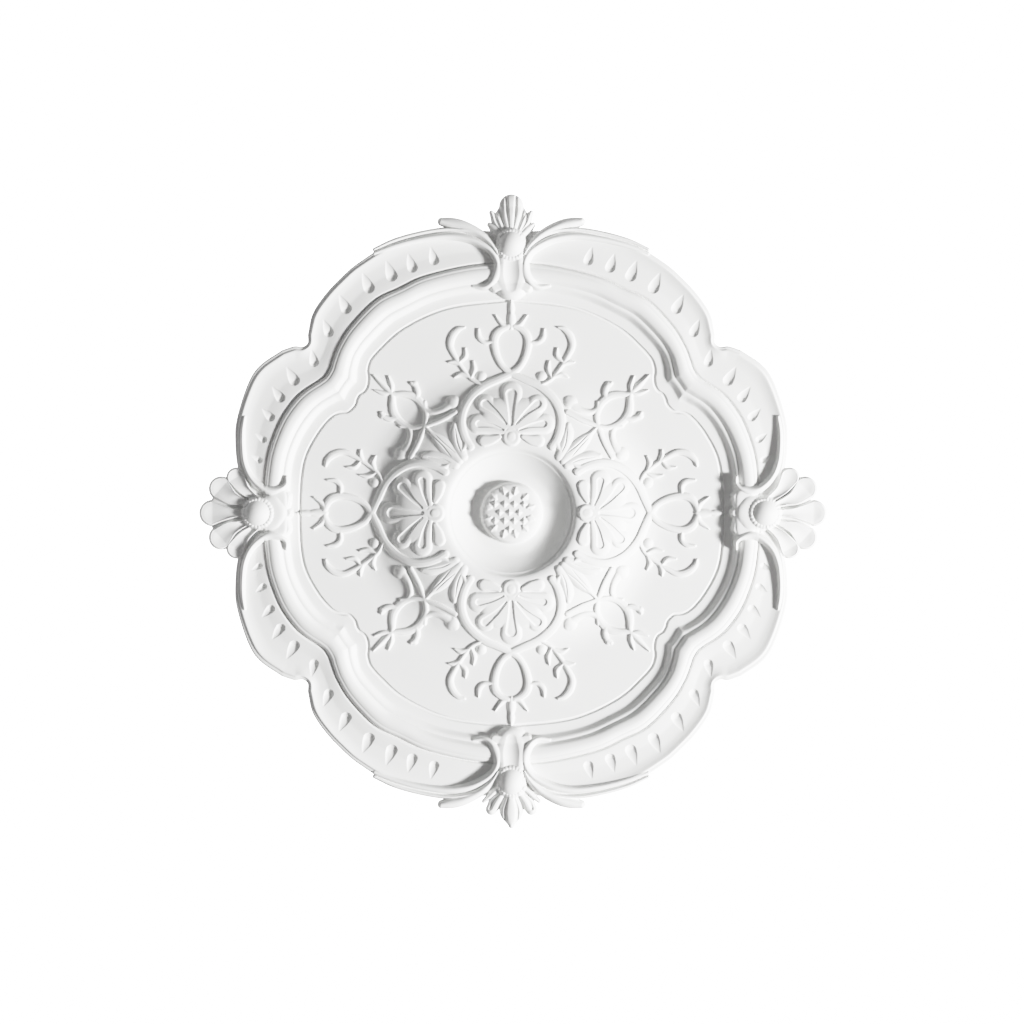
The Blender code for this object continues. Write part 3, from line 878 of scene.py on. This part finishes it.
def seam_runs(edges, places, axis, at):
    """Chains of open edges on a seam line, as ids in rising order."""
    other = 1 - axis
    on_line = np.abs(places[axis][edges] - at).max(axis=1) < 1e-6
    chosen = edges[on_line]
    if not len(chosen):
        return []
    low = np.where(places[other][chosen[:, 0]] < places[other][chosen[:, 1]],
                   chosen[:, 0], chosen[:, 1])
    high = chosen.sum(axis=1) - low
    order = np.argsort(places[other][low])
    runs = []
    for start, end in zip(low[order].tolist(), high[order].tolist()):
        if runs and runs[-1][-1] == start:
            runs[-1].append(end)
        else:
            runs.append([start, end])
    return runs


def tile_mesh(name, rows, columns, face_powers, back_powers, slopes, turned_edge):
    """A closed mesh of one tile: face, flat back, outline walls and seam walls."""
    face_triangles, face_quads, face_outline = leaf_faces(face_powers, rows, columns)
    back_triangles, back_quads, back_outline = leaf_faces(back_powers, rows, columns)
    used = np.unique(np.concatenate([
        face_triangles.ravel(), face_quads.ravel(),
        back_triangles.ravel() + ALL_POINTS, back_quads.ravel() + ALL_POINTS]))
    is_back = used >= ALL_POINTS
    x, y, level = point_places(np.where(is_back, used - ALL_POINTS, used), height)
    level[is_back] = 0.0

    def local(ids):
        return np.searchsorted(used, ids)

    front_triangles = local(face_triangles)
    front_quads = local(face_quads)
    rear_triangles = local(back_triangles + ALL_POINTS)
    rear_quads = local(back_quads + ALL_POINTS)
    walls = np.column_stack([
        local(face_outline[:, 1]), local(face_outline[:, 0]),
        local(face_outline[:, 0] + ALL_POINTS), local(face_outline[:, 1] + ALL_POINTS)])
    outline_keys = set(map(tuple, np.sort(local(face_outline), axis=1).tolist()))
    places = (x, y)
    front_open = open_edges(front_triangles, front_quads)
    rear_open = open_edges(rear_triangles, rear_quads)
    keep = [tuple(sorted(edge)) not in outline_keys for edge in front_open.tolist()]
    front_open = front_open[np.array(keep, dtype=bool)] if len(keep) else front_open
    seams = []
    for axis, ats in ((0, (columns.start, columns.stop)), (1, (rows.start, rows.stop))):
        line = grid_x if axis == 0 else grid_y
        for index, end in enumerate(ats):
            front = seam_runs(front_open, places, axis, line[end])
            rear = seam_runs(rear_open, places, axis, line[end])
            if len(front) != len(rear):
                print("seam runs differ", name, axis, end, len(front), len(rear))
                continue
            for front_run, rear_run in zip(front, rear):
                loop = front_run + rear_run[::-1]
                # Seen from outside the tile the wall runs one way on two sides.
                if (index == 0) == (axis == 0):
                    loop = loop[::-1]
                seams.append(loop)

    # The face looks down, so its faces run the other way round from the grid.
    groups = [front_triangles[:, ::-1], front_quads[:, ::-1], rear_triangles, rear_quads, walls]
    corner_ids = np.concatenate([group.ravel() for group in groups] + [
        np.array(loop) for loop in seams] if seams else [group.ravel() for group in groups])
    sizes = np.concatenate(
        [np.full(len(group), group.shape[1]) for group in groups]
        + [np.array([len(loop) for loop in seams], dtype=int)])
    starts = np.concatenate([[0], np.cumsum(sizes)[:-1]])
    mesh = bpy.data.meshes.new(name)
    mesh.vertices.add(len(used))
    coordinates = np.column_stack([x, y, -level]) * MM
    mesh.vertices.foreach_set("co", coordinates.astype(np.float32).ravel())
    mesh.loops.add(len(corner_ids))
    mesh.loops.foreach_set("vertex_index", corner_ids.astype(np.int32))
    mesh.polygons.add(len(sizes))
    mesh.polygons.foreach_set("loop_start", starts.astype(np.int32))
    mesh.update(calc_edges=True)

    # Corner normals come from the sculpted slopes, so no seam shows.
    down = np.column_stack([
        -sampled(slopes[0], x, y), -sampled(slopes[1], x, y), -np.ones(len(used))])
    down /= np.linalg.norm(down, axis=1)[:, None]
    out = np.column_stack([
        -sampled(turned_edge[0], x, y), -sampled(turned_edge[1], x, y), np.zeros(len(used))])
    out /= np.maximum(np.linalg.norm(out, axis=1), 1e-6)[:, None]
    front_count = front_triangles.size + front_quads.size
    rear_count = rear_triangles.size + rear_quads.size
    normals = np.zeros((len(corner_ids), 3))
    normals[:front_count] = down[corner_ids[:front_count]]
    normals[front_count:front_count + rear_count] = (0.0, 0.0, 1.0)
    first = front_count + rear_count
    normals[first:first + walls.size] = out[corner_ids[first:first + walls.size]]
    at = first + walls.size
    for loop in seams:
        corner = coordinates[loop]
        flat_axis = 0 if np.ptp(corner[:, 0]) < 1e-9 else 1
        end = columns if flat_axis == 0 else rows
        line = grid_x if flat_axis == 0 else grid_y
        outward = -1.0 if abs(corner[0, flat_axis] / MM - line[end.start]) < 1e-6 else 1.0
        normals[at:at + len(loop), flat_axis] = outward
        at += len(loop)
    mesh.normals_split_custom_set(normals)
    mesh.validate()
    triangle_count = int((sizes - 2).sum())
    return mesh, triangle_count


def primed_white():
    """Matt white primer over a smooth casting."""
    material = bpy.data.materials.new("primed_white")
    material.use_nodes = True
    nodes = material.node_tree.nodes
    shader = nodes["Principled BSDF"]
    shader.inputs["Base Color"].default_value = (0.80, 0.80, 0.79, 1.0)
    shader.inputs["Roughness"].default_value = 0.62
    return material


def build_rose():
    """Mesh the sculpted relief in tiles."""
    depth = np.clip(solid, 0.0, EDGE_ROUNDING)
    drop = EDGE_ROUNDING - np.sqrt(EDGE_ROUNDING**2 - (EDGE_ROUNDING - depth) ** 2)
    height[:] = np.where(solid > 0, height - drop, height - EDGE_ROUNDING)
    height[:] = soft_min(height, GREATEST_HEIGHT, 1.0)
    face_powers = leaf_powers(height, FIT_TOLERANCE)
    back_powers = leaf_powers(np.zeros_like(height), FIT_TOLERANCE)
    slope_y, slope_x = np.gradient(height, CELL)
    edge_y, edge_x = np.gradient(solid, CELL)
    material = primed_white()
    total = 0
    for row in range(len(TILE_ROWS) - 1):
        for column in range(len(TILE_COLUMNS) - 1):
            name = f"rose_{row}_{column}"
            rows = slice(TILE_ROWS[row], TILE_ROWS[row + 1])
            columns = slice(TILE_COLUMNS[column], TILE_COLUMNS[column + 1])
            mesh, count = tile_mesh(
                name, rows, columns, face_powers, back_powers,
                (slope_x, slope_y), (edge_x, edge_y))
            total += count
            print(name, count)
            mesh.materials.append(material)
            tile = bpy.data.objects.new(name, mesh)
            bpy.context.scene.collection.objects.link(tile)
            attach(tile, "root")
            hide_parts(NODE)
    print("triangles", total)


CAMERA_DISTANCE = 8.0
SENSOR_MM = 36.0
FRAME_WIDTH = PHOTO_SIZE * MM_PER_PX * MM
FACE_LEVEL = 0.030
FLOOR_LEVEL = -9.0
LIGHT_DISTANCE = 7.0
LIGHT_ANGLE_DEG = 17.0
LIGHT_ELEVATION_DEG = 31.0
LIGHT_SIZE = 1.0
LIGHT_WATTS = 880.0
FILL_BELOW = 0.10
FILL_ABOVE = 0.85
SEEN_BACKDROP = 4.0
# Tone of the picture: how quickly it nears white, and the brightest value it takes in.
TONE_STRENGTH = 2.05
TONE_REACH = 4.0
TONE_STEPS = 14


def build_stage():
    """Pale floor, soft key light from the photograph's lower right and a white surround."""
    bpy.ops.mesh.primitive_plane_add(size=60.0, location=(0.0, 0.0, FLOOR_LEVEL))
    floor = bpy.context.object
    floor.name = "floor"
    paint = bpy.data.materials.new("floor_paint")
    paint.use_nodes = True
    paint.node_tree.nodes["Principled BSDF"].inputs["Base Color"].default_value = (0.8, 0.8, 0.8, 1)
    floor.data.materials.append(paint)
    floor.visible_diffuse = False
    world = bpy.data.worlds.new("surround")
    world.use_nodes = True
    nodes = world.node_tree.nodes
    links = world.node_tree.links
    place_on_sky = nodes.new("ShaderNodeTexCoord")
    parts_of_place = nodes.new("ShaderNodeSeparateXYZ")
    links.new(place_on_sky.outputs["Generated"], parts_of_place.inputs["Vector"])
    fill = nodes.new("ShaderNodeMapRange")
    fill.inputs["From Min"].default_value = -0.08
    fill.inputs["From Max"].default_value = 0.0
    fill.inputs["To Min"].default_value = FILL_BELOW
    fill.inputs["To Max"].default_value = FILL_ABOVE
    links.new(parts_of_place.outputs["Z"], fill.inputs["Value"])
    ray = nodes.new("ShaderNodeLightPath")
    strength = nodes.new("ShaderNodeMix")
    strength.data_type = "FLOAT"
    strength.inputs[3].default_value = SEEN_BACKDROP
    links.new(ray.outputs["Is Camera Ray"], strength.inputs[0])
    links.new(fill.outputs["Result"], strength.inputs[2])
    background = nodes["Background"]
    background.inputs["Color"].default_value = (1.0, 1.0, 1.0, 1.0)
    links.new(strength.outputs[0], background.inputs["Strength"])
    bpy.context.scene.world = world
    light_data = bpy.data.lights.new("key", "AREA")
    light_data.energy = LIGHT_WATTS
    light_data.size = LIGHT_SIZE
    light = bpy.data.objects.new("key", light_data)
    bearing = math.radians(LIGHT_ANGLE_DEG)
    rise = math.radians(LIGHT_ELEVATION_DEG)
    light.location = (
        LIGHT_DISTANCE * math.cos(rise) * math.cos(bearing),
        LIGHT_DISTANCE * math.cos(rise) * math.sin(bearing),
        -LIGHT_DISTANCE * math.sin(rise))
    light.rotation_euler = (-light.location).to_track_quat("-Z", "Y").to_euler()
    bpy.context.scene.collection.objects.link(light)


def set_tone():
    """Print-like tone: highlights run softly into white, as on the retouched photograph."""
    view = bpy.context.scene.view_settings
    view.view_transform = "Standard"
    view.use_curve_mapping = True
    tone = view.curve_mapping
    tone.white_level = (TONE_REACH, TONE_REACH, TONE_REACH)
    tone.clip_max_x = 1.0
    curve = tone.curves[3]
    shares = [(step / TONE_STEPS) ** 2 for step in range(TONE_STEPS + 1)]
    for share in shares[1:-1]:
        curve.points.new(share, 1 - math.exp(-TONE_STRENGTH * TONE_REACH * share))
    curve.points[0].location = (0.0, 0.0)
    curve.points[-1].location = (1.0, 1.0)
    tone.update()


def place_camera():
    """Straight below the rose, looking up, as the photograph shows it."""
    data = bpy.data.cameras.new("camera")
    data.sensor_width = SENSOR_MM
    data.lens = SENSOR_MM * CAMERA_DISTANCE / FRAME_WIDTH
    data.clip_end = 100.0
    camera = bpy.data.objects.new("camera", data)
    across = (PHOTO_SIZE / 2 - BOX_MIDDLE[0]) * MM_PER_PX * MM
    down = (PHOTO_SIZE / 2 - BOX_MIDDLE[1]) * MM_PER_PX * MM
    camera.location = (across, down, -CAMERA_DISTANCE - FACE_LEVEL)
    camera.rotation_euler = (math.pi, 0.0, 0.0)
    bpy.context.scene.collection.objects.link(camera)
    bpy.context.scene.camera = camera


def main():
    lay_frame()
    shift_to_centre()
    lay_centre()
    height[solid < 0] = LIP_HEIGHT
    ground[:] = height
    lay_knob()
    lay_field_ornament()
    lay_frame_ornament()
    settle()
    for outwards in ((1, 0), (-1, 0)):
        lay_side(outwards)
    for outwards in ((0, -1), (0, 1)):
        lay_end(outwards)
    build_rose()
    build_stage()
    place_camera()
    set_tone()


main()
